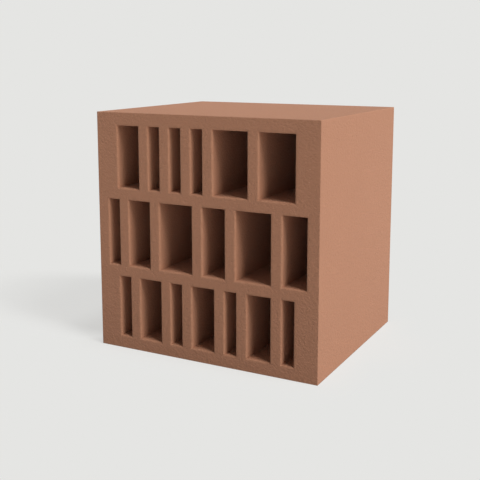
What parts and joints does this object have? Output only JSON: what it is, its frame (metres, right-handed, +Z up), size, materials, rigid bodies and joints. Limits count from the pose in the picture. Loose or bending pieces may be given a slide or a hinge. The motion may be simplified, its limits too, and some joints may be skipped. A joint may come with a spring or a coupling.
{
  "type": "hollow clay brick",
  "caption": "Hollow fired-clay brick with three rows of rectangular through cells, standing on a plain face.",
  "frame": {"origin": "on the ground under the middle of the brick", "axes": "+Z up, +X to the right across the perforated face, which looks along -Y; the cells run along Y"},
  "size_m": [0.2, 0.171, 0.2],
  "materials": {
    "fired_clay": "matte"
  },
  "bodies": {
    "root": {"brick": "fired_clay"}
  },
  "joints": []
}
